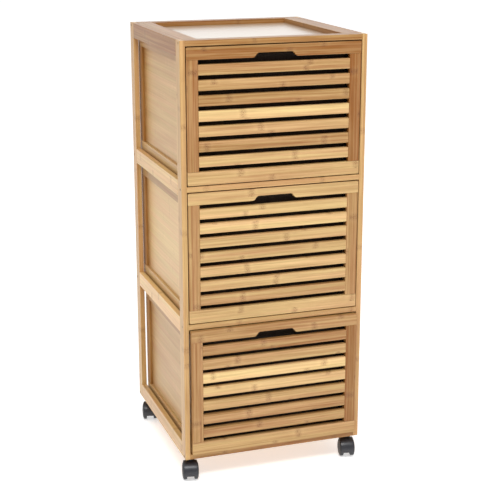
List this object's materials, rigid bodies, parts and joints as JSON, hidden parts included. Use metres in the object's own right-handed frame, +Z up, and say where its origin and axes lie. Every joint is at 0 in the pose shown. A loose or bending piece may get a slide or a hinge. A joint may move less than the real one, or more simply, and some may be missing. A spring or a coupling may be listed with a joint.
{
  "type": "laundry sorter",
  "caption": "Tall open bamboo cabinet on twin-wheel casters, holding stacked slatted drawers with hand holes and fabric liners under a shallow tray top.",
  "frame": {"origin": "on the floor, at the middle of the overall box in plan", "axes": "+Z up; -Y is the front, where the drawers open; +X to the right seen from the front"},
  "size_m": [0.4314, 0.433, 1.004],
  "materials": {
    "cabinet_bamboo": "satin-lacquered bamboo, edge-glued strips with nodes",
    "drawer_front_bamboo": "satin-lacquered bamboo, slats of varied tone",
    "panel_bamboo": "satin-lacquered bamboo, fine pale grain",
    "liner_fabric": "charcoal woven polyester with a folded hem",
    "caster_plastic": "moulded black nylon, satin",
    "wheel_plastic": "moulded black nylon, matt"
  },
  "bodies": {
    "cabinet": {"front_left_stile": "cabinet_bamboo", "front_right_stile": "cabinet_bamboo", "rear_left_stile": "cabinet_bamboo", "rear_right_stile": "cabinet_bamboo", "left_top_rail": "cabinet_bamboo", "left_upper_rail": "cabinet_bamboo", "left_lower_rail": "cabinet_bamboo", "left_bottom_rail": "cabinet_bamboo", "right_top_rail": "cabinet_bamboo", "right_upper_rail": "cabinet_bamboo", "right_lower_rail": "cabinet_bamboo", "right_bottom_rail": "cabinet_bamboo", "front_top_crossbar": "cabinet_bamboo", "rear_top_crossbar": "cabinet_bamboo", "front_upper_crossbar": "cabinet_bamboo", "rear_upper_crossbar": "cabinet_bamboo", "front_lower_crossbar": "cabinet_bamboo", "rear_lower_crossbar": "cabinet_bamboo", "front_bottom_crossbar": "cabinet_bamboo", "rear_bottom_crossbar": "cabinet_bamboo", "top_left_board": "cabinet_bamboo", "top_right_board": "cabinet_bamboo", "top_panel": "panel_bamboo", "top_drawer_left_runner": "cabinet_bamboo", "top_drawer_right_runner": "cabinet_bamboo", "middle_drawer_left_runner": "cabinet_bamboo", "middle_drawer_right_runner": "cabinet_bamboo", "bottom_drawer_left_runner": "cabinet_bamboo", "bottom_drawer_right_runner": "cabinet_bamboo"},
    "top_drawer": {"top_drawer_front_top_rail": "drawer_front_bamboo", "top_drawer_slat_panel": "drawer_front_bamboo", "top_drawer_left_side": "panel_bamboo", "top_drawer_right_side": "panel_bamboo", "top_drawer_back": "panel_bamboo", "top_drawer_bottom": "panel_bamboo", "top_drawer_liner": "liner_fabric"},
    "middle_drawer": {"middle_drawer_front_top_rail": "drawer_front_bamboo", "middle_drawer_slat_panel": "drawer_front_bamboo", "middle_drawer_left_side": "panel_bamboo", "middle_drawer_right_side": "panel_bamboo", "middle_drawer_back": "panel_bamboo", "middle_drawer_bottom": "panel_bamboo", "middle_drawer_liner": "liner_fabric"},
    "bottom_drawer": {"bottom_drawer_front_top_rail": "drawer_front_bamboo", "bottom_drawer_slat_panel": "drawer_front_bamboo", "bottom_drawer_left_side": "panel_bamboo", "bottom_drawer_right_side": "panel_bamboo", "bottom_drawer_back": "panel_bamboo", "bottom_drawer_bottom": "panel_bamboo", "bottom_drawer_liner": "liner_fabric"},
    "front_left_caster_swivel": {"front_left_caster_housing": "caster_plastic"},
    "front_left_caster_axle": {"front_left_caster_wheels": "wheel_plastic"},
    "front_right_caster_swivel": {"front_right_caster_housing": "caster_plastic"},
    "front_right_caster_axle": {"front_right_caster_wheels": "wheel_plastic"},
    "rear_left_caster_swivel": {"rear_left_caster_housing": "caster_plastic"},
    "rear_left_caster_axle": {"rear_left_caster_wheels": "wheel_plastic"},
    "rear_right_caster_swivel": {"rear_right_caster_housing": "caster_plastic"},
    "rear_right_caster_axle": {"rear_right_caster_wheels": "wheel_plastic"}
  },
  "joints": [
    {"name": "top_drawer_slide", "type": "slide", "parent": "cabinet", "child": "top_drawer", "axis": [0, -1, 0], "range_m": [0, 0.26]},
    {"name": "middle_drawer_slide", "type": "slide", "parent": "cabinet", "child": "middle_drawer", "axis": [0, -1, 0], "range_m": [0, 0.26]},
    {"name": "bottom_drawer_slide", "type": "slide", "parent": "cabinet", "child": "bottom_drawer", "axis": [0, -1, 0], "range_m": [-0.009, 0.251]},
    {"name": "front_left_caster_swivel_turn", "type": "hinge", "parent": "cabinet", "child": "front_left_caster_swivel", "pos_m": [-0.19242, -0.1785, 0.054], "axis": [0, 0, 1], "continuous": true},
    {"name": "front_left_caster_wheel_spin", "type": "hinge", "parent": "front_left_caster_swivel", "child": "front_left_caster_axle", "pos_m": [-0.1945, -0.18828, 0.021], "axis": [0.9781, -0.2079, 0], "continuous": true},
    {"name": "front_right_caster_swivel_turn", "type": "hinge", "parent": "cabinet", "child": "front_right_caster_swivel", "pos_m": [0.19658, -0.1785, 0.054], "axis": [0, 0, 1], "continuous": true},
    {"name": "front_right_caster_wheel_spin", "type": "hinge", "parent": "front_right_caster_swivel", "child": "front_right_caster_axle", "pos_m": [0.1945, -0.18828, 0.021], "axis": [0.9781, -0.2079, 0], "continuous": true},
    {"name": "rear_left_caster_swivel_turn", "type": "hinge", "parent": "cabinet", "child": "rear_left_caster_swivel", "pos_m": [-0.19242, 0.1875, 0.054], "axis": [0, 0, 1], "continuous": true},
    {"name": "rear_left_caster_wheel_spin", "type": "hinge", "parent": "rear_left_caster_swivel", "child": "rear_left_caster_axle", "pos_m": [-0.1945, 0.17772, 0.021], "axis": [0.9781, -0.2079, 0], "continuous": true},
    {"name": "rear_right_caster_swivel_turn", "type": "hinge", "parent": "cabinet", "child": "rear_right_caster_swivel", "pos_m": [0.19658, 0.1875, 0.054], "axis": [0, 0, 1], "continuous": true},
    {"name": "rear_right_caster_wheel_spin", "type": "hinge", "parent": "rear_right_caster_swivel", "child": "rear_right_caster_axle", "pos_m": [0.1945, 0.17772, 0.021], "axis": [0.9781, -0.2079, 0], "continuous": true}
  ]
}
